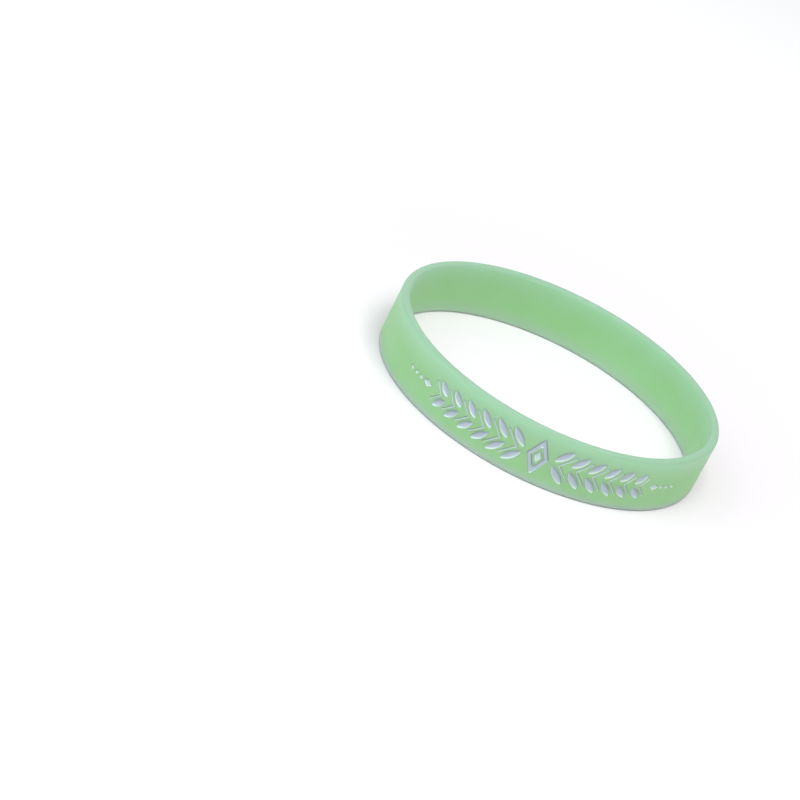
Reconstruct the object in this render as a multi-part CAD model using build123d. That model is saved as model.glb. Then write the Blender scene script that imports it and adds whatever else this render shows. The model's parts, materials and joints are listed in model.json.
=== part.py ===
from build123d import *
from functools import partial
import math
import os

# A moulded silicone wristband with ink-filled marks pressed into its outer face.
# Millimetres. The band stands on its edge: its axis is Z, its foot is at z = 0, and the
# middle of the ornament faces -Y.

# The ring
OUTER_RADIUS = 35.75
WALL = 2.0
WIDTH = 12.0
EDGE_ROUND = 0.75
# The largest edge round that a wall takes, as a share of the wall
MOST_ROUND = 0.45

# Broad marks are pressed deeper than thin lines, and the ink only covers their floor
BROAD_DEPTH = 0.5
BROAD_INK = 0.2
LINE_DEPTH = 0.35
LINE_INK = 0.12
# Free space between the ink and the floor and walls of its recess
INK_GAP = 0.02

# The lozenge-shaped frame in the middle, and the small lozenge inside it
CENTRE_LENGTH = 4.6
CENTRE_HEIGHT = 8.4
CENTRE_STROKE = 0.85
CENTRE_ROUND = 0.3
SPOT_GAP = 0.5
SPOT_ROUND = 0.15
# The largest corner round that a lozenge takes, as a share of its shorter diagonal
MOST_CORNER = 0.2

# Leaves in slanted pairs, one above and one below the middle line
LEAF_PAIRS = 6
LEAF_PITCH = 3.7
# From the frame's corner to the root of the first leaf
LEAF_SPACE = 0.9
LEAF_LENGTH = 4.8
LEAF_WIDTH = 1.5
LEAF_SLANT = 45.0
LEAF_ROOT = 0.45
LEAF_ROUND = 0.2
# The share of its length that the last leaf has lost against the first
LEAF_TAPER = 0.28

# A thin chevron stands after each pair, halfway to the next
LINE_WIDTH = 0.36
# Its arms' length as a share of the leaf beside it
CHEVRON_REACH = 0.8

# A small lozenge and a row of dots close each end
END_LENGTH = 2.6
END_HEIGHT = 1.7
END_ROUND = 0.2
END_SPACE = 0.6
DOT_COUNT = 3
DOT_RADIUS = 0.45
DOT_PITCH = 1.7

MID_HEIGHT = WIDTH / 2
MIDDLE_PLANE = Plane.XY.offset(MID_HEIGHT)


def plain_ring():
    """The ring with no marks: a rounded section turned about Z."""
    edge_round = min(EDGE_ROUND, MOST_ROUND * WALL)
    section = Plane.XZ * Pos(OUTER_RADIUS - WALL / 2, MID_HEIGHT) * RectangleRounded(WALL, WIDTH, edge_round)
    return revolve(section, axis=Axis.Z)


def tube(inner, outer):
    """What lies between two radii over the band's width. It gives a mark its curved floor and face."""
    return Pos(0, 0, MID_HEIGHT) * (Cylinder(outer, WIDTH) - Cylinder(inner, WIDTH))


def wall_plane(along):
    """The plane that touches the outer face on the middle line: x along the band, y up, z outward.
    along is the way round from the middle of the ornament."""
    angle = math.radians(-90) + along / OUTER_RADIUS
    outward = Vector(math.cos(angle), math.sin(angle), 0)
    onward = Vector(-math.sin(angle), math.cos(angle), 0)
    return Plane(origin=outward * OUTER_RADIUS + Vector(0, 0, MID_HEIGHT), x_dir=onward, z_dir=outward)


def within(length, height, border):
    """The diagonals of the lozenge that lies inside another by a border all round."""
    side = math.hypot(length, height)
    return length - 2 * border * side / height, height - 2 * border * side / length


def lozenge(length, height, corner, inset):
    """A lozenge with rounded corners, drawn smaller all round by inset."""
    corner = min(corner, MOST_CORNER * min(length, height))
    length, height = within(length, height, inset)
    outline = Polyline((length / 2, 0), (0, height / 2), (-length / 2, 0), (0, -height / 2), close=True)
    face = make_face(outline)
    return fillet(face.vertices(), corner - inset)


def centre_frame(inset):
    hole = within(CENTRE_LENGTH, CENTRE_HEIGHT, CENTRE_STROKE)
    return lozenge(CENTRE_LENGTH, CENTRE_HEIGHT, CENTRE_ROUND, inset) - lozenge(*hole, CENTRE_ROUND, -inset)


def centre_spot(inset):
    length, height = within(CENTRE_LENGTH, CENTRE_HEIGHT, CENTRE_STROKE + SPOT_GAP)
    return lozenge(length, height, SPOT_ROUND, inset)


def leaf(length, inset):
    """An upper leaf: two arcs that meet at its root and its tip, both rounded."""
    half_width = LEAF_WIDTH / 2
    arc_radius = (length ** 2 / 4 + half_width ** 2) / (2 * half_width)
    half_chord = math.sqrt((arc_radius - inset) ** 2 - (arc_radius - half_width) ** 2)
    root = (-half_chord, 0)
    tip = (half_chord, 0)
    above = ThreePointArc(root, (0, half_width - inset), tip)
    below = ThreePointArc(tip, (0, inset - half_width), root)
    face = make_face(Curve() + [above, below])
    rounded = fillet(face.vertices(), LEAF_ROUND - inset)
    return Pos(0, LEAF_ROOT) * Rot(0, 0, LEAF_SLANT) * Pos(length / 2, 0) * rounded


def chevron(length, inset):
    """A thin line that runs from the middle line up and down along the slant of the leaves."""
    half_line = LINE_WIDTH / 2 - inset
    arm = Pos(length / 2, 0) * Rectangle(length, 2 * half_line) + Pos(length, 0) * Circle(half_line)
    upper = Rot(0, 0, LEAF_SLANT) * arm
    lower = Rot(0, 0, -LEAF_SLANT) * arm
    return Circle(half_line) + upper + lower


def dot(inset):
    return Circle(DOT_RADIUS - inset)


def press(draw, along, depth, ink):
    """One mark: what its recess takes from the ring, and the ink that lies in it.
    draw gives the mark's outline, smaller all round by the inset that it is called with."""
    plane = wall_plane(along)
    floor = OUTER_RADIUS - depth
    bed = floor + INK_GAP
    recess = extrude(plane * draw(0), WALL, both=True) & tube(floor, OUTER_RADIUS + WALL)
    filling = extrude(plane * draw(INK_GAP), WALL, both=True) & tube(bed, bed + ink)
    return recess.solid(), filling.solid()


def below(mark):
    return tuple(mirror(solid, about=MIDDLE_PLANE) for solid in mark)


def on_the_left(mark):
    return tuple(mirror(solid, about=Plane.YZ) for solid in mark)


def leaf_root(pair):
    """How far from the middle a pair of leaves starts."""
    return CENTRE_LENGTH / 2 + LEAF_SPACE + pair * LEAF_PITCH


def leaves_and_chevrons():
    """The marks of the right-hand half: upper leaves with their lower twins, and the chevrons."""
    leaves = []
    chevrons = []
    for pair in range(LEAF_PAIRS):
        shrunk = LEAF_TAPER * pair / max(1, LEAF_PAIRS - 1)
        length = LEAF_LENGTH * (1 - shrunk)
        upper = press(partial(leaf, length), leaf_root(pair), BROAD_DEPTH, BROAD_INK)
        leaves += [upper, below(upper)]
        bend = leaf_root(pair) + LEAF_PITCH / 2 - LEAF_ROOT / math.tan(math.radians(LEAF_SLANT))
        chevrons.append(press(partial(chevron, CHEVRON_REACH * length), bend, LINE_DEPTH, LINE_INK))
    return leaves, chevrons


def end_marks():
    """The small lozenge and the dots past the last chevron of the right-hand half."""
    start = leaf_root(LEAF_PAIRS) + END_SPACE
    small_lozenge = partial(lozenge, END_LENGTH, END_HEIGHT, END_ROUND)
    lozenges = [press(small_lozenge, start + END_LENGTH / 2, BROAD_DEPTH, BROAD_INK)]
    dots = []
    for step in range(DOT_COUNT):
        along = start + END_LENGTH + (step + 0.5) * DOT_PITCH
        dots.append(press(dot, along, BROAD_DEPTH, BROAD_INK))
    return lozenges, dots


def all_marks():
    """Each mark under the name of its ink. The left-hand half mirrors the right-hand one."""
    marks = {
        "centre_ink": press(centre_frame, 0, BROAD_DEPTH, BROAD_INK),
        "spot_ink": press(centre_spot, 0, BROAD_DEPTH, BROAD_INK),
    }
    leaves, chevrons = leaves_and_chevrons()
    lozenges, dots = end_marks()
    for kind, half in (("leaf", leaves), ("chevron", chevrons), ("end", lozenges), ("dot", dots)):
        both_halves = half + [on_the_left(mark) for mark in half]
        for number, mark in enumerate(both_halves, start=1):
            marks[f"{kind}_ink_{number:02d}"] = mark
    return marks


def build():
    os.makedirs("parts", exist_ok=True)
    marks = all_marks()
    band = plain_ring() - [recess for recess, filling in marks.values()]
    export_step(band, "parts/band.step")
    for name, (recess, filling) in marks.items():
        export_step(filling, f"parts/{name}.step")
    ink_volume = sum(filling.volume for recess, filling in marks.values())
    print("band volume, mm3", round(band.volume, 1), "ink volume, mm3", round(ink_volume, 2))


build()
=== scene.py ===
import json
import math
from collections import namedtuple
from functools import partial

import bpy
from mathutils import Matrix, Vector


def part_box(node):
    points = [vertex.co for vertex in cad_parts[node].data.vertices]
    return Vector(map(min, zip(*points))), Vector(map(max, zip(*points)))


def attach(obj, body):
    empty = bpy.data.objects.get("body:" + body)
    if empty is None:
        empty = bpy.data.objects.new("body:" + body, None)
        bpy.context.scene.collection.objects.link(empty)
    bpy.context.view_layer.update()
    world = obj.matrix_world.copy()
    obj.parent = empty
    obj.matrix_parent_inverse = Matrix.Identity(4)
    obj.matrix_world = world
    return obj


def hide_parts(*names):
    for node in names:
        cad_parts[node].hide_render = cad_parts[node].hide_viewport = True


# A light green silicone wristband that rests on its edge, with silvery ink in the marks
# pressed into its outer face. The band and its ink are modelled lying flat, face up, in
# millimetres: x runs along the band from the middle of the ornament, y across it, and z
# out of its face. They are then bent round and brought to metres.

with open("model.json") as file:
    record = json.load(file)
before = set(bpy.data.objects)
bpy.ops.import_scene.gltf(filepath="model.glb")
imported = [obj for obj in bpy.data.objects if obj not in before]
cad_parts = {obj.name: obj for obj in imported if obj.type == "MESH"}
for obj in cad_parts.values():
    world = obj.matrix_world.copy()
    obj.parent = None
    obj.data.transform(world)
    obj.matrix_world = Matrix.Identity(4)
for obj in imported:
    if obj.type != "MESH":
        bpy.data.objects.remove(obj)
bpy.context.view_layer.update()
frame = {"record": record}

MM = 0.001

# The ring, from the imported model
band_low, band_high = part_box("band")
bore = next(mount for mount in frame["record"]["mounts"] if mount["name"] == "wrist_bore")
OUTER_RADIUS = band_high.x / MM
WALL = OUTER_RADIUS - bore["dims"]["r_mm"]
WIDTH = (band_high.z - band_low.z) / MM
EDGE_ROUND = (WIDTH - bore["dims"]["length_mm"]) / 2
FLAT_LENGTH = 2 * math.pi * OUTER_RADIUS

# The marks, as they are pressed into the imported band: broad ones deeper than thin lines
BROAD_DEPTH = 0.5
LINE_DEPTH = 0.35
# Free space between the ink and the floor and walls of its mark
INK_GAP = 0.02

# The lozenge-shaped frame in the middle, and the small lozenge inside it
CENTRE_LENGTH = 4.6
CENTRE_HEIGHT = 8.4
CENTRE_STROKE = 0.85
CENTRE_ROUND = 0.3
SPOT_GAP = 0.5
SPOT_ROUND = 0.15

# Leaves in slanted pairs, one above and one below the middle line
LEAF_PAIRS = 6
LEAF_PITCH = 3.7
# From the frame's corner to the root of the first leaf
LEAF_SPACE = 0.9
LEAF_LENGTH = 4.8
LEAF_WIDTH = 1.5
LEAF_SLANT = math.radians(45)
# From the middle line to the root of a leaf
LEAF_ROOT = 0.45
LEAF_ROUND = 0.2
# The share of its length that the last leaf has lost against the first
LEAF_TAPER = 0.28

# A thin chevron after each pair, with arms that are a share of the leaf beside it
LINE_WIDTH = 0.36
CHEVRON_REACH = 0.8
# The round inside its bend
INNER_ROUND = 0.16

# A small lozenge and a row of dots at each end
END_LENGTH = 2.6
END_HEIGHT = 1.7
END_ROUND = 0.2
END_SPACE = 0.6
DOT_COUNT = 3
DOT_RADIUS = 0.45
DOT_PITCH = 1.7

# The soft mouth of a mark: its round, the steps in it, and how far the mark's walls lean outwards
RIM_ROUND = 0.12
RIM_STEPS = 3
DRAFT = 0.02
# How far a plug stands out of the band, and how far its rounded mouth starts above the face
PLUG_HEAD = 0.5
BITE = 0.002

# How deep a kind of mark is, how thick its ink is in the middle, how far that climbs up the
# wall, and how far in its slope reaches, which is 0 where the slope is a share of the mark
Kind = namedtuple("Kind", "depth ink climb reach")
BROAD = Kind(BROAD_DEPTH, 0.06, 0.30, 0)
STROKE = Kind(BROAD_DEPTH, 0.11, 0.24, 0.26)
SMALL = Kind(BROAD_DEPTH, 0.25, 0.12, 0)
LINE = Kind(LINE_DEPTH, 0.11, 0.12, 0.14)

# How the ink slopes from the wall of its mark to its middle, as shares of the way in and of the climb
SLOPE = ((0.06, 0.18), (0.13, 0.36), (0.22, 0.55), (0.33, 0.72), (0.46, 0.86), (0.62, 0.95), (0.8, 1.0))

# About how far a round of an outline turns, and how long it is, in each of its steps
TURN_STEP = math.radians(15)
ARC_STEP = 0.3
# How near two points of an outline are when they are one
OUTLINE_WELD = 0.01

# Steps in each round of the band's long edges, and the angle up to which faces are shaded as one
EDGE_STEPS = 7
SMOOTH_ANGLE = math.radians(50)

# Lengths between the cross cuts that let the flat band bend, in the ornament and past it
FINE_CUT = 0.5
COARSE_CUT = 1.25
ORNAMENT_REACH = 34.5
# How near two vertices of the band are when they are one
WELD = 0.001

# The camera, in millimetres and radians, from the outline of the band in the photograph
CAMERA_DISTANCE = 616.4
CAMERA_AZIMUTH = math.radians(-7.5)
CAMERA_ELEVATION = math.radians(23.7)
CAMERA_AIM = (-28.0, -25.5, 0.0)
CAMERA_ROLL = math.radians(26.8)
CAMERA_LENS = 135.0
CAMERA_SENSOR = 36.0

# The floor, in metres
FLOOR_RADIUS = 4.0
FLOOR_SIDES = 96


# Selecting, editing and joining pieces

def deselect():
    bpy.ops.object.select_all(action="DESELECT")


def only(piece):
    """Leaves this piece alone selected and active."""
    deselect()
    piece.select_set(True)
    bpy.context.view_layer.objects.active = piece


def edit(piece):
    only(piece)
    bpy.ops.object.mode_set(mode="EDIT")


def done():
    bpy.ops.object.mode_set(mode="OBJECT")


def settle(piece):
    """Puts the piece's place, turn and size into its mesh."""
    only(piece)
    bpy.ops.object.transform_apply(location=True, rotation=True, scale=True)
    return piece


def apply(piece, kind, **settings):
    """Gives the piece the shape that a modifier with these settings makes of it."""
    only(piece)
    modifier = piece.modifiers.new(kind, kind)
    for name, value in settings.items():
        setattr(modifier, name, value)
    bpy.ops.object.modifier_apply(modifier=modifier.name)
    return piece


def copy_of(piece, name):
    """A copy with a mesh of its own."""
    copy = piece.copy()
    copy.data = piece.data.copy()
    copy.name = name
    bpy.context.scene.collection.objects.link(copy)
    return copy


def remove(pieces):
    deselect()
    for piece in pieces:
        piece.select_set(True)
    bpy.ops.object.delete()


def joined(pieces, name):
    """The pieces as one, in the place of the first."""
    deselect()
    for piece in pieces:
        piece.select_set(True)
    bpy.context.view_layer.objects.active = pieces[0]
    bpy.ops.object.join()
    result = bpy.context.view_layer.objects.active
    result.name = name
    return result


# Flat outlines of straight runs and round turns

def face_up(piece):
    """Lets the faces of a flat piece look up."""
    if piece.data.polygons[0].normal.z < 0:
        edit(piece)
        bpy.ops.mesh.select_all(action="SELECT")
        bpy.ops.mesh.flip_normals()
        done()
    return piece


def level_direction(angle):
    """The direction at this angle to the left of x."""
    return Vector((math.cos(angle), math.sin(angle), 0))


def outline(name, rows, heading):
    """A flat face centred on the origin. Its edge runs counter-clockwise from the heading along
    rows of (straight run, turn's radius, turn's angle); a negative angle turns to the right."""
    deselect()
    bpy.ops.mesh.primitive_plane_add(size=1)
    piece = bpy.context.object
    piece.name = name
    # The plane shrinks to one vertex, and that vertex draws the edge
    edit(piece)
    bpy.ops.mesh.select_mode(type="VERT")
    bpy.ops.mesh.select_all(action="SELECT")
    bpy.ops.mesh.merge(type="CENTER")
    at = Vector((0, 0, 0))
    for run, radius, turn in rows:
        if run > 0:
            step = run * level_direction(heading)
            bpy.ops.mesh.extrude_vertices_move(TRANSFORM_OT_translate={"value": step})
            at += step
        # The centre of a turn lies square to the heading, on the side that it turns to
        aside = math.copysign(math.pi / 2, turn)
        centre = at + radius * level_direction(heading + aside)
        steps = max(round(abs(turn) / TURN_STEP), round(abs(turn) * radius / ARC_STEP), 1)
        bpy.ops.mesh.spin(steps=steps, angle=turn, center=centre, axis=(0, 0, -1))
        heading += turn
        at = centre - radius * level_direction(heading + aside)
    bpy.ops.mesh.select_all(action="SELECT")
    bpy.ops.mesh.remove_doubles(threshold=OUTLINE_WELD)
    bpy.ops.mesh.edge_face_add()
    done()
    face_up(piece)
    xs = [vertex.co.x for vertex in piece.data.vertices]
    ys = [vertex.co.y for vertex in piece.data.vertices]
    piece.location = (-(min(xs) + max(xs)) / 2, -(min(ys) + max(ys)) / 2, 0)
    return settle(piece)


def within(length, height, border):
    """The diagonals of the lozenge that lies inside another by a border all round."""
    side = math.hypot(length, height)
    return length - 2 * border * side / height, height - 2 * border * side / length


def lozenge(length, height, corner, inset):
    """A lozenge with rounded corners. Its edge starts with the run from below up to its right-hand end."""
    length, height = within(length, height, inset)
    rise = math.atan2(height, length)
    end_turn = math.pi - 2 * rise
    top_turn = 2 * rise
    corner_radius = corner - inset
    run = math.hypot(length, height) / 2
    run -= corner_radius * (math.tan(end_turn / 2) + math.tan(top_turn / 2))
    rows = [(run, corner_radius, end_turn), (run, corner_radius, top_turn)] * 2
    return outline("lozenge", rows, rise)


def centre_frame(inset):
    """A lozenge with a lozenge-shaped hole, both as wires with faces bridged between them."""
    hole = within(CENTRE_LENGTH, CENTRE_HEIGHT, CENTRE_STROKE)
    outer = lozenge(CENTRE_LENGTH, CENTRE_HEIGHT, CENTRE_ROUND, inset)
    inner = lozenge(*hole, CENTRE_ROUND, -inset)
    piece = joined([outer, inner], "centre_frame")
    edit(piece)
    bpy.ops.mesh.select_all(action="SELECT")
    bpy.ops.mesh.delete(type="ONLY_FACE")
    bpy.ops.mesh.select_all(action="SELECT")
    bpy.ops.mesh.bridge_edge_loops()
    done()
    return face_up(piece)


def centre_spot(inset):
    length, height = within(CENTRE_LENGTH, CENTRE_HEIGHT, CENTRE_STROKE + SPOT_GAP)
    return lozenge(length, height, SPOT_ROUND, inset)


def leaf(length, inset):
    """Two arcs along x that meet in rounded tips."""
    half_width = LEAF_WIDTH / 2
    side_radius = (length ** 2 / 4 + half_width ** 2) / (2 * half_width)
    centre_height = side_radius - half_width
    side_radius -= inset
    tip_radius = LEAF_ROUND - inset
    tip_place = math.sqrt((side_radius - tip_radius) ** 2 - centre_height ** 2)
    lean = math.atan2(centre_height, tip_place)
    rows = [(0, side_radius, math.pi - 2 * lean), (0, tip_radius, 2 * lean)] * 2
    return outline("leaf", rows, lean - math.pi / 2)


def chevron(length, inset):
    """Its bend lies at the origin and its arms run out along x."""
    half_line = LINE_WIDTH / 2 - inset
    bend = math.pi - 2 * LEAF_SLANT
    inner_radius = INNER_ROUND + inset
    inner_run = length - half_line / math.tan(LEAF_SLANT) - inner_radius * math.tan(bend / 2)
    rows = [
        (length, half_line, math.pi),
        (inner_run, inner_radius, -bend),
        (inner_run, half_line, math.pi),
        (length, half_line, bend),
    ]
    piece = outline("chevron", rows, -LEAF_SLANT)
    piece.location.x = piece.dimensions.x / 2 - half_line
    return settle(piece)


def dot(inset):
    return outline("dot", [(0, DOT_RADIUS - inset, 2 * math.pi)], 0)


# Solids raised from a flat outline

def raised(face, steps):
    """Raises a flat face by steps of (inset, share, rise) and closes it to a solid. A step draws the
    face in from its edge by the inset, or makes it smaller by the share where that isn't 1."""
    edit(face)
    bpy.ops.mesh.select_mode(type="FACE")
    bpy.ops.mesh.select_all(action="SELECT")
    for inset, share, rise in steps:
        if inset > 0:
            bpy.ops.mesh.inset(thickness=inset, depth=rise, use_even_offset=True)
            continue
        bpy.ops.mesh.extrude_region_move(TRANSFORM_OT_translate={"value": (0, 0, rise)})
        if share != 1:
            bpy.ops.transform.resize(value=(share, share, 1), center_override=(0, 0, 0))
    bpy.ops.mesh.select_all(action="SELECT")
    bpy.ops.mesh.normals_make_consistent(inside=False)
    done()
    return face


def quarter(steps):
    """The stretches of a quarter turn, as pairs of angles."""
    angles = [math.pi / 2 * step / steps for step in range(steps + 1)]
    return list(zip(angles, angles[1:]))


def plug(draw, kind):
    """What a mark takes from the band: soft at its mouth, and a little wider there than at its floor.
    It is raised from its head to its floor and then turned over."""
    steps = [(0, 1, PLUG_HEAD)]
    for start, end in quarter(RIM_STEPS):
        inset = RIM_ROUND * (math.sin(end) - math.sin(start))
        steps.append((inset, 1, RIM_ROUND * (math.cos(start) - math.cos(end))))
    steps.append((DRAFT, 1, kind.depth + BITE - RIM_ROUND))
    solid = raised(draw(-RIM_ROUND - DRAFT), steps)
    solid.rotation_euler.x = math.pi
    solid.location.z = PLUG_HEAD + BITE
    return settle(solid)


def filling(draw, kind):
    """The ink in a mark: it climbs up the wall and slopes down from there."""
    steps = [(0, 1, kind.ink + kind.climb)]
    last_run, last_drop = 0, 0
    whole_run = SLOPE[-1][0]
    for run, drop in SLOPE:
        inset = kind.reach * (run - last_run) / whole_run
        share = (1 - run) / (1 - last_run)
        steps.append((inset, share, kind.climb * (last_drop - drop)))
        last_run, last_drop = run, drop
    solid = raised(draw(INK_GAP), steps)
    solid.location.z = INK_GAP - kind.depth
    return settle(solid)


# The ornament

plugs = []
# The fillings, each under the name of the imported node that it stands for
inks = {}


def set_in(model, name, along, up, turn):
    """A copy of the model in its place on the flat band."""
    piece = copy_of(model, name)
    piece.location = (along, up, 0)
    piece.rotation_euler.z = turn
    return settle(piece)


def mark(draw, kind, spots):
    """Models one mark and sets it in each spot: the name of its ink, its place on the band and its turn.
    draw gives the mark's outline, smaller all round by the inset that it is called with."""
    models = [plug(draw, kind), filling(draw, kind)]
    for node, *spot in spots:
        plugs.append(set_in(models[0], "plug", *spot))
        inks[node] = set_in(models[1], node + "_fill", *spot)
    remove(models)


def leaf_root(pair):
    """How far from the middle a pair of leaves starts."""
    return CENTRE_LENGTH / 2 + LEAF_SPACE + pair * LEAF_PITCH


def leaf_pair(pair):
    """The four leaves that stand as far as each other from the middle, and the two chevrons past them."""
    length = LEAF_LENGTH * (1 - LEAF_TAPER * pair / (LEAF_PAIRS - 1))
    root = leaf_root(pair)
    along = root + length / 2 * math.cos(LEAF_SLANT)
    up = LEAF_ROOT + length / 2 * math.sin(LEAF_SLANT)
    bend = root + LEAF_PITCH / 2 - LEAF_ROOT / math.tan(LEAF_SLANT)
    leaf_spots = []
    chevron_spots = []
    for half, side in enumerate((1, -1)):
        number = half * LEAF_PAIRS + pair
        for lower, level in enumerate((1, -1)):
            name = f"leaf_ink_{2 * number + lower + 1:02d}"
            leaf_spots.append((name, side * along, level * up, side * level * LEAF_SLANT))
        chevron_spots.append((f"chevron_ink_{number + 1:02d}", side * bend, 0, half * math.pi))
    mark(partial(leaf, length), BROAD, leaf_spots)
    mark(partial(chevron, CHEVRON_REACH * length), LINE, chevron_spots)


def ends():
    """The small lozenge and the dots that close each half."""
    start = leaf_root(LEAF_PAIRS) + END_SPACE
    middle = start + END_LENGTH / 2
    lozenge_spots = [("end_ink_01", middle, 0, 0), ("end_ink_02", -middle, 0, 0)]
    mark(partial(lozenge, END_LENGTH, END_HEIGHT, END_ROUND), SMALL, lozenge_spots)
    dot_spots = []
    for half, side in enumerate((1, -1)):
        for step in range(DOT_COUNT):
            along = start + END_LENGTH + (step + 0.5) * DOT_PITCH
            dot_spots.append((f"dot_ink_{half * DOT_COUNT + step + 1:02d}", side * along, 0, 0))
    mark(dot, SMALL, dot_spots)


def ornament():
    mark(centre_frame, STROKE, [("centre_ink", 0, 0, 0)])
    mark(centre_spot, SMALL, [("spot_ink", 0, 0, 0)])
    for pair in range(LEAF_PAIRS):
        leaf_pair(pair)
    ends()


# From the flat strip to the ring

def spaced(start, end, step):
    """Evenly spaced places from start to just before end, at most a step apart."""
    count = math.ceil((end - start) / step)
    return [start + (end - start) * number / count for number in range(count)]


def cut_across(piece, places):
    """Cuts the faces at these places along the band, so that they can bend there."""
    edit(piece)
    for place in places:
        bpy.ops.mesh.select_all(action="SELECT")
        bpy.ops.mesh.bisect(plane_co=(place, 0, 0), plane_no=(1, 0, 0))
    done()


def bend_round(piece):
    """Stands a flat piece on its edge, bends it to the ring and brings it to metres."""
    piece.rotation_euler.x = math.pi / 2
    settle(piece)
    turn = piece.dimensions.x / OUTER_RADIUS
    apply(piece, "SIMPLE_DEFORM", deform_method="BEND", deform_axis="Z", angle=turn)
    piece.location = (0, -OUTER_RADIUS * MM, WIDTH / 2 * MM)
    piece.scale = (MM, MM, MM)
    return settle(piece)


def smooth(piece):
    """Shades the piece smooth, with normals that follow its larger faces."""
    only(piece)
    bpy.ops.object.shade_smooth_by_angle(angle=SMOOTH_ANGLE)
    return apply(piece, "WEIGHTED_NORMAL", keep_sharp=True)


def strip():
    """The flat band before its marks, with its long edges rounded."""
    deselect()
    bpy.ops.mesh.primitive_cube_add(size=1, location=(0, 0, -WALL / 2))
    piece = bpy.context.object
    piece.scale = (FLAT_LENGTH, WIDTH, WALL)
    settle(piece)
    edit(piece)
    bpy.ops.mesh.select_mode(type="EDGE")
    bpy.ops.mesh.select_all(action="DESELECT")
    done()
    # The four edges that run along the band
    for edge in piece.data.edges:
        first, second = (piece.data.vertices[index].co for index in edge.vertices)
        edge.select = abs(first.x - second.x) > FLAT_LENGTH / 2
    edit(piece)
    bpy.ops.mesh.bevel(offset=EDGE_ROUND, segments=EDGE_STEPS)
    done()
    return piece


def band():
    """The strip with its marks pressed in, opened at its ends, bent round and welded at the back."""
    piece = strip()
    piece.name = "silicone_band"
    pressed = joined(plugs, "plugs")
    apply(piece, "BOOLEAN", operation="DIFFERENCE", solver="EXACT", object=pressed)
    remove([pressed])
    half_length = FLAT_LENGTH / 2
    places = spaced(-half_length, -ORNAMENT_REACH, COARSE_CUT)
    places += spaced(-ORNAMENT_REACH, ORNAMENT_REACH, FINE_CUT)
    places += spaced(ORNAMENT_REACH, half_length, COARSE_CUT)
    cut_across(piece, places[1:])
    # The faces at both ends come off, so that the walls join where the ends meet
    for face in piece.data.polygons:
        face.select = abs(face.center.x) > half_length - WELD
    edit(piece)
    bpy.ops.mesh.select_mode(type="FACE")
    bpy.ops.mesh.delete(type="FACE")
    done()
    bend_round(piece)
    edit(piece)
    bpy.ops.mesh.select_mode(type="VERT")
    bpy.ops.mesh.select_all(action="SELECT")
    bpy.ops.mesh.remove_doubles(threshold=WELD * MM)
    bpy.ops.mesh.normals_make_consistent(inside=False)
    done()
    return smooth(piece)


def ink(piece):
    """Bends one flat filling to the ring, in steps as fine as the band's."""
    places = [corner[0] for corner in piece.bound_box]
    cut_across(piece, spaced(min(places), max(places), FINE_CUT)[1:])
    return smooth(bend_round(piece))


# Materials

# The Mix node's sockets for colours, which share their names with those for numbers
FIRST_COLOUR = 6
SECOND_COLOUR = 7
MIXED_COLOUR = 2


class Value:
    """A socket of a material. Sums, differences and products add their Math nodes."""

    def __init__(self, tree, socket=None):
        self.tree = tree
        self.socket = socket

    def node(self, kind, settings, inputs, output=0):
        """Any other node of the same material: its settings go in first, then the values or
        links of its inputs."""
        node = self.tree.nodes.new(kind)
        for name, setting in settings.items():
            setattr(node, name, setting)
        for name, value in inputs.items():
            if isinstance(value, Value):
                self.tree.links.new(value.socket, node.inputs[name])
            else:
                node.inputs[name].default_value = value
        return Value(self.tree, node.outputs[output] if node.outputs else None)

    def maths(self, operation, first, second):
        return self.node("ShaderNodeMath", {"operation": operation}, {0: first, 1: second})

    def __add__(self, other):
        return self.maths("ADD", self, other)

    __radd__ = __add__

    def __sub__(self, other):
        return self.maths("SUBTRACT", self, other)

    def __rsub__(self, other):
        return self.maths("SUBTRACT", other, self)

    def __mul__(self, other):
        return self.maths("MULTIPLY", self, other)

    __rmul__ = __mul__

    def smooth_step(self, start, end):
        """0 up to start, 1 from end on, and an even swell between."""
        settings = {"interpolation_type": "SMOOTHSTEP"}
        return self.node("ShaderNodeMapRange", settings, {"Value": self, "From Min": start, "From Max": end})

    def mixed(self, first, second):
        """From the first colour to the second as this value goes from 0 to 1."""
        inputs = {"Factor": self, FIRST_COLOUR: first, SECOND_COLOUR: second}
        return self.node("ShaderNodeMix", {"data_type": "RGBA"}, inputs, output=MIXED_COLOUR)

    def height(self):
        """The height of this point, or how far this direction looks up."""
        return self.node("ShaderNodeSeparateXYZ", {}, {"Vector": self}, output="Z")

    def length(self):
        """How far this point lies from the origin."""
        return self.node("ShaderNodeVectorMath", {"operation": "LENGTH"}, {0: self}, output="Value")

    def level(self):
        """The point below or above this one at height 0."""
        return self.node("ShaderNodeVectorMath", {"operation": "MULTIPLY"}, {0: self, 1: (1, 1, 0)})

    def noise(self, size, detail=2.0):
        """Noise from 0 to 1 over this point, with grains of this size in metres."""
        inputs = {"Vector": self, "Scale": 1 / size, "Detail": detail}
        return self.node("ShaderNodeTexNoise", {}, inputs)


def coat(name, make):
    """A new material. make is called with the point of the piece and gives its shader's inputs."""
    material = bpy.data.materials.new(name)
    material.use_nodes = True
    tree = material.node_tree
    tree.nodes.clear()
    point = Value(tree).node("ShaderNodeTexCoord", {}, {}, output="Object")
    shader = point.node("ShaderNodeBsdfPrincipled", {}, make(point))
    shader.node("ShaderNodeOutputMaterial", {}, {"Surface": shader})
    return material


def depth_below_face(point):
    """How far a point of the piece lies below the band's outer face."""
    return OUTER_RADIUS * MM - point.level().length()


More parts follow.
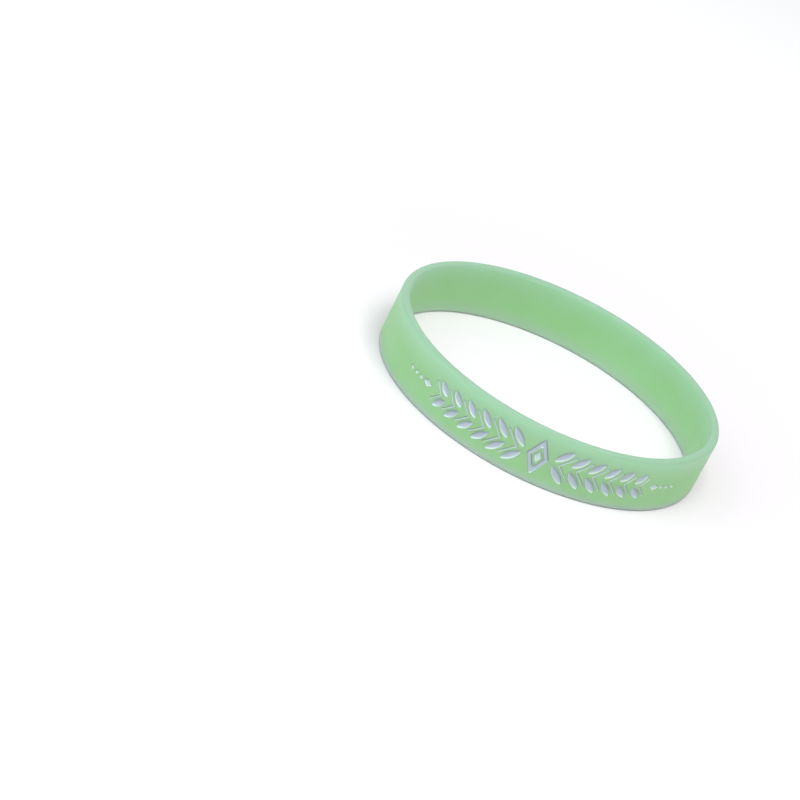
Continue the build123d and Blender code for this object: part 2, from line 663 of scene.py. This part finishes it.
# The silicone's two body greens, in soft clouds, and the painted light and shade laid over them towards the
# edges
CLOUD_SIZE = 9 * MM
CLOUD_RANGE = (0.35, 0.65)
BODY_DARKER = (0.298, 0.56, 0.26, 1)
BODY_LIGHTER = (0.31, 0.572, 0.285, 1)
# A paler mint painted at the top, standing in for light that scatters in through the upper edge
UPPER_PAINTED_GLOW = (0.355, 0.595, 0.395, 1)
# Painted shade on the top face, which catches the most light
CROWN_PAINTED_SHADE = (0.255, 0.412, 0.286, 1)
# Bluish grey painted reflected light on the lower edge
LOWER_PAINTED_REFLECTION = (0.45, 0.50, 0.54, 1)
# Painted light at the foot, which lightens the contact shade there
FOOT_PAINTED_LIGHT = (0.66, 0.92, 0.72, 1)
# The heights from which they set in, and those where they are at their fullest
UPPER_ZONE = (6.6 * MM, 11.5 * MM)
CROWN_ZONE = (11.1 * MM, 11.85 * MM)
LOWER_ZONE = (2.4 * MM, -0.6 * MM)
FOOT_ZONE = (0.5 * MM, 0)
# The depths between which the outer face gives way to the inner side
INNER_ZONE = (0.6 * MM, 1.4 * MM)
# On the inner side the upper colour is full, and the lower one sets in, this much higher
UPPER_RAISED = 1 * MM
LOWER_RAISED = 2 * MM
# How much of each of these colours there is at its fullest, and how much less of the lower one inside
UPPER_SHARE = 0.9
LOWER_SHARE = 0.85
LOWER_LESS_INSIDE = 0.4
# The skin of the moulding, whose gloss varies in small patches
GRAIN_SIZE = 0.12 * MM
PATCH_SIZE = 2.5 * MM


def silicone(point):
    height = point.height()
    body = point.noise(CLOUD_SIZE).smooth_step(*CLOUD_RANGE).mixed(BODY_DARKER, BODY_LIGHTER)
    inside = depth_below_face(point).smooth_step(*INNER_ZONE)
    upper = height.smooth_step(UPPER_ZONE[0], UPPER_ZONE[1] + inside * UPPER_RAISED)
    lower = height.smooth_step(LOWER_ZONE[0] + inside * LOWER_RAISED, LOWER_ZONE[1])
    # Over the body go a painted glow at the top, painted shade on the top face, painted reflected light low
    # down and painted light at the foot
    colour = (upper * UPPER_SHARE).mixed(body, UPPER_PAINTED_GLOW)
    colour = height.smooth_step(*CROWN_ZONE).mixed(colour, CROWN_PAINTED_SHADE)
    colour = (lower * (LOWER_SHARE - inside * LOWER_LESS_INSIDE)).mixed(colour, LOWER_PAINTED_REFLECTION)
    colour = height.smooth_step(*FOOT_ZONE).mixed(colour, FOOT_PAINTED_LIGHT)
    grain = point.noise(GRAIN_SIZE, detail=3.0)
    bump = grain.node("ShaderNodeBump", {}, {"Strength": 0.08, "Distance": 0.03 * MM, "Height": grain})
    return {
        "Base Color": colour,
        "Roughness": 0.52 + point.noise(PATCH_SIZE) * 0.1,
        "IOR": 1.41,
        "Subsurface Weight": 0.65,
        "Subsurface Radius": (0.7, 1.0, 0.8),
        "Subsurface Scale": 3.0 * MM,
        "Normal": bump,
    }


# The ink's two silvery shades, in a soft wash, with fine flakes in it
WASH_SIZE = 2 * MM
WASH_RANGE = (0.3, 0.7)
SILVERY_DARKER = (0.45, 0.53, 0.62, 1)
SILVERY_LIGHTER = (0.50, 0.57, 0.66, 1)
FLAKE_SIZE = 0.06 * MM
FLAKE_RANGE = (0.4, 0.7)
# Near the face the ink is thin, and the light silicone shows through it
THIN_COLOUR = (0.60, 0.78, 0.72, 1)
THIN_ZONE = (0.34 * MM, 0.16 * MM)
# Painted highlight on the lower walls of the marks, which look up, and painted shade on the upper ones,
# which look down
PAINTED_HIGHLIGHT_COLOUR = (0.70, 0.84, 0.80, 1)
PAINTED_HIGHLIGHT_ZONE = (0, 0.7)
PAINTED_HIGHLIGHT_SHARE = 0.5
PAINTED_SHADE_COLOUR = (0.27, 0.36, 0.36, 1)
PAINTED_SHADE_ZONE = (0.2, -0.5)
PAINTED_SHADE_SHARE = 0.8


def ink_coat(point):
    silvery = point.noise(WASH_SIZE).smooth_step(*WASH_RANGE).mixed(SILVERY_DARKER, SILVERY_LIGHTER)
    thin = depth_below_face(point).smooth_step(*THIN_ZONE)
    rise = point.node("ShaderNodeNewGeometry", {}, {}, output="Normal").height()
    colour = thin.mixed(silvery, THIN_COLOUR)
    # Painted highlight where the ink's surface looks up, and painted shade where it looks down
    colour = (rise.smooth_step(*PAINTED_HIGHLIGHT_ZONE) * PAINTED_HIGHLIGHT_SHARE).mixed(colour, PAINTED_HIGHLIGHT_COLOUR)
    colour = (rise.smooth_step(*PAINTED_SHADE_ZONE) * PAINTED_SHADE_SHARE).mixed(colour, PAINTED_SHADE_COLOUR)
    flake = point.noise(FLAKE_SIZE).smooth_step(*FLAKE_RANGE)
    bump = flake.node("ShaderNodeBump", {}, {"Strength": 0.15, "Distance": 0.02 * MM, "Height": flake})
    return {
        "Base Color": colour,
        "Metallic": 0.45 - thin * 0.35,
        "Roughness": 0.32 + flake * 0.1,
        "Normal": bump,
    }


# The object

ornament()
ring = band()
ring.data.materials.append(coat("light_green_silicone", silicone))
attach(ring, "root")
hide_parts("band")
ink_material = coat("silvery_ink", ink_coat)
for node, piece in inks.items():
    ink(piece)
    piece.data.materials.append(ink_material)
    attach(piece, "root")
    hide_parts(node)


# The stage: a pale floor, soft light and the camera

# Pale card in two faint shades, duller under the band than further out: painted light makes up for the less
# light that falls further out, and the near shades' faint lavender tint is painted against the green light
# that the band throws on the card. Metres
CARD_CLOUD_SIZE = 0.4
CARD_DARKER = (0.73, 0.70, 0.725, 1)
CARD_LIGHTER = (0.76, 0.73, 0.755, 1)
CARD_FAR = (0.87, 0.87, 0.87, 1)
CARD_FAR_ZONE = (0.05, 0.22)


def pale_floor(point):
    near = point.noise(CARD_CLOUD_SIZE).mixed(CARD_DARKER, CARD_LIGHTER)
    away = point.length().smooth_step(*CARD_FAR_ZONE)
    return {"Base Color": away.mixed(near, CARD_FAR), "Roughness": 0.6}


def floor():
    deselect()
    bpy.ops.mesh.primitive_circle_add(radius=FLOOR_RADIUS, vertices=FLOOR_SIDES, fill_type="NGON")
    piece = bpy.context.object
    piece.name = "floor"
    piece.data.materials.append(coat("pale_floor", pale_floor))


def soft_box(name, place, side, power, colour):
    """A square lamp that shines on the middle of the ring. Its place and side are in metres, and its
    power is in watts."""
    deselect()
    bpy.ops.object.light_add(type="AREA", location=place)
    lamp = bpy.context.object
    lamp.name = name
    lamp.data.shape = "SQUARE"
    lamp.data.size = side
    lamp.data.energy = power
    lamp.data.color = colour
    lamp.rotation_euler = (-Vector(place)).to_track_quat("-Z", "Y").to_euler()


def daylight(strength):
    """Even white light from all round."""
    world = bpy.data.worlds.new("studio")
    world.use_nodes = True
    background = world.node_tree.nodes["Background"]
    background.inputs["Color"].default_value = (1, 1, 1, 1)
    background.inputs["Strength"].default_value = strength
    bpy.context.scene.world = world


def set_up_camera():
    level = math.cos(CAMERA_ELEVATION)
    direction = Vector((
        level * math.sin(CAMERA_AZIMUTH),
        -level * math.cos(CAMERA_AZIMUTH),
        math.sin(CAMERA_ELEVATION),
    ))
    eye = direction * CAMERA_DISTANCE
    forward = (Vector(CAMERA_AIM) - eye).normalized()
    flat_right = forward.cross(Vector((0, 0, 1))).normalized()
    flat_up = flat_right.cross(forward)
    right = flat_right * math.cos(CAMERA_ROLL) + flat_up * math.sin(CAMERA_ROLL)
    up = flat_up * math.cos(CAMERA_ROLL) - flat_right * math.sin(CAMERA_ROLL)
    bpy.ops.object.camera_add()
    camera = bpy.context.object
    camera.name = "camera"
    camera.data.lens = CAMERA_LENS
    camera.data.sensor_width = CAMERA_SENSOR
    turned = Matrix((right, up, -forward)).transposed().to_4x4()
    camera.matrix_world = Matrix.Translation(eye * MM) @ turned
    bpy.context.scene.camera = camera


floor()
daylight(strength=0.48)
soft_box("overhead", place=(0.07, -0.28, 1.0), side=0.8, power=11, colour=(1, 1, 1))
soft_box("left", place=(-0.9, -0.4, 0.75), side=1.0, power=5.1, colour=(0.80, 0.93, 1.0))
set_up_camera()
bpy.context.scene.view_settings.view_transform = "Standard"
